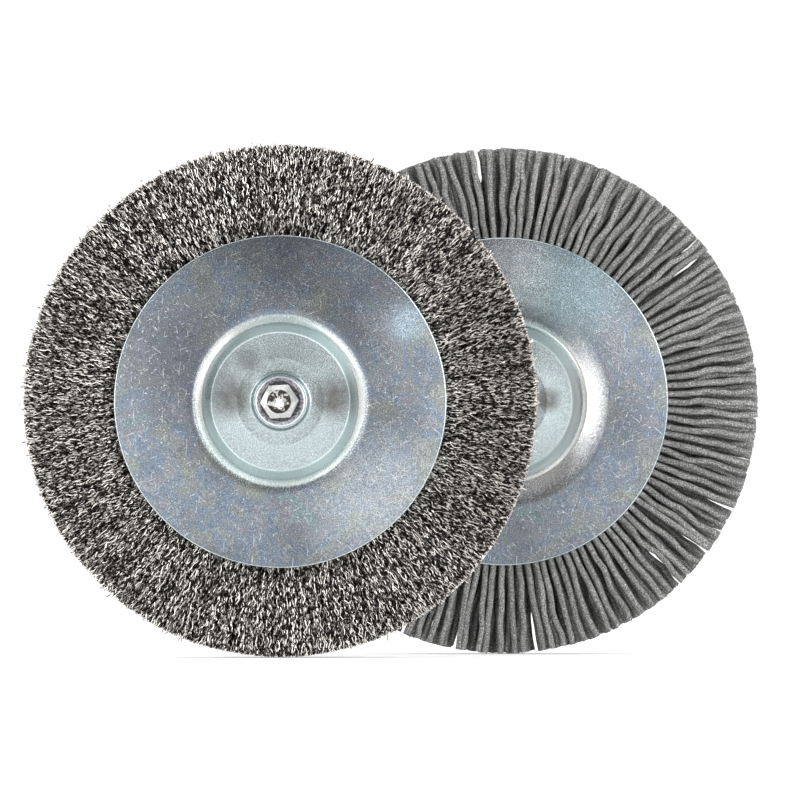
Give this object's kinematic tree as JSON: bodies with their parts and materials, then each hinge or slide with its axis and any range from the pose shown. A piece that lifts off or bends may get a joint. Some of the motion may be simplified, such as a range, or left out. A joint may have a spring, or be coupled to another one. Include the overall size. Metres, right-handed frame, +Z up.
{
  "type": "pair of rotary wheel brushes",
  "caption": "Crimped steel wire wheel brush and abrasive nylon wheel brush with stamped zinc-plated flanges and hexagonal drive shanks, standing on their rims, one behind the other.",
  "frame": {"origin": "centre of the underside of the pair's bounding box, on the surface that both rims stand on", "axes": "+Z up; +X from the wire brush's axis towards the nylon brush's axis; both shanks point to -Y"},
  "size_m": [0.144, 0.0885, 0.1],
  "materials": {
    "shank_steel": "bright zinc-plated hexagonal bar, rough sheared end face",
    "bush_steel": "bright turned steel",
    "zinc_plate": "blue-passivated zinc plating on pressed sheet, satin, with faint iridescent patches",
    "core_steel": "plain drawn steel",
    "steel_wire": "crimped spring steel wire, 0.3 mm, dark with bright highlights",
    "abrasive_nylon": "grey nylon filament filled with abrasive grit, 1.2 mm, matt and speckled"
  },
  "bodies": {
    "nylon_brush": {"nylon_shank": "shank_steel", "nylon_hub_bush": "bush_steel", "nylon_front_flange": "zinc_plate", "nylon_rear_flange": "zinc_plate", "nylon_spacer": "core_steel", "nylon_core_ring": "core_steel", "nylon_bristles": "abrasive_nylon", "nylon_rear_washer": "bush_steel"},
    "wire_brush": {"wire_shank": "shank_steel", "wire_hub_bush": "bush_steel", "wire_front_flange": "zinc_plate", "wire_rear_flange": "zinc_plate", "wire_spacer": "core_steel", "wire_core_ring": "core_steel", "wire_bristles": "steel_wire", "wire_rear_washer": "bush_steel"}
  },
  "joints": [
    {"name": "wire_brush_spin", "type": "hinge", "parent": "nylon_brush", "child": "wire_brush", "pos_m": [-0.022, -0.00825, 0.05], "axis": [0, -1, 0], "continuous": true}
  ]
}
